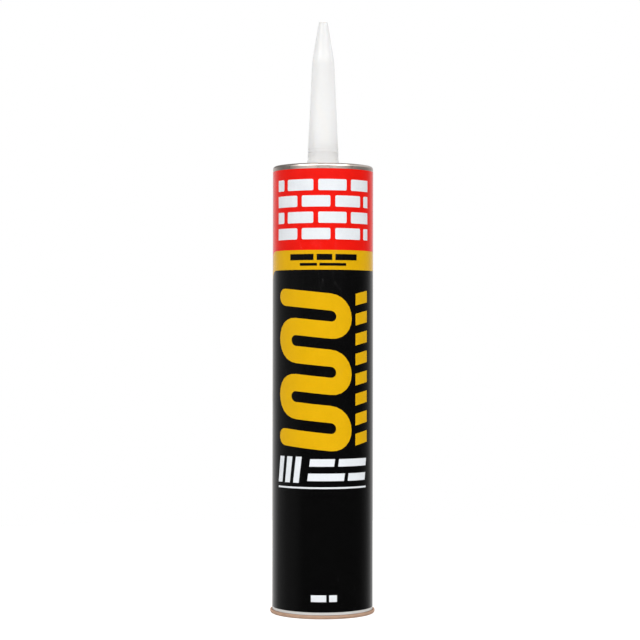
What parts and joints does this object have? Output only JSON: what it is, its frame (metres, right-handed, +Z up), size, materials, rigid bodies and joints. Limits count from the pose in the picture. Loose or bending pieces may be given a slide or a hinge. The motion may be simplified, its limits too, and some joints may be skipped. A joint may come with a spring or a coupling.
{
  "type": "construction adhesive cartridge",
  "caption": "Cartridge of construction adhesive for a cartridge gun: labelled fibreboard tube with a curled foot, crimped steel end, long tapered closed nozzle, and a sliding plunger.",
  "frame": {"origin": "centre of the curled foot, on the plane that the cartridge stands on", "axes": "+Z up the cartridge's axis towards the nozzle's tip; -Y is the front of the label, and the label's lap is at +Y"},
  "size_m": [0.051, 0.051, 0.2887],
  "materials": {
    "fibreboard": "matte kraft board",
    "label_paper": "varnished coated paper",
    "label_red": "varnished red print",
    "label_yellow": "varnished yellow print",
    "label_black": "varnished black print",
    "label_white": "varnished white print",
    "tinned_steel": "satin tinplate",
    "nozzle_plastic": "satin natural white polyethylene",
    "seal_foil": "satin foil",
    "adhesive": "smooth paste",
    "plunger_plastic": "satin polyethylene"
  },
  "bodies": {
    "barrel": {"fibre_tube": "fibreboard", "label_paper": "label_paper", "label_red_ink": "label_red", "label_yellow_ink": "label_yellow", "label_black_ink": "label_black", "label_white_ink": "label_white", "steel_end": "tinned_steel", "nozzle": "nozzle_plastic", "nozzle_seal": "seal_foil", "adhesive_fill": "adhesive"},
    "plunger": {"plunger": "plunger_plastic"}
  },
  "joints": [
    {"name": "plunger_slide", "type": "slide", "parent": "barrel", "child": "plunger", "axis": [0, 0, 1], "range_m": [0, 0.168], "deforming": ["adhesive_fill"]}
  ]
}
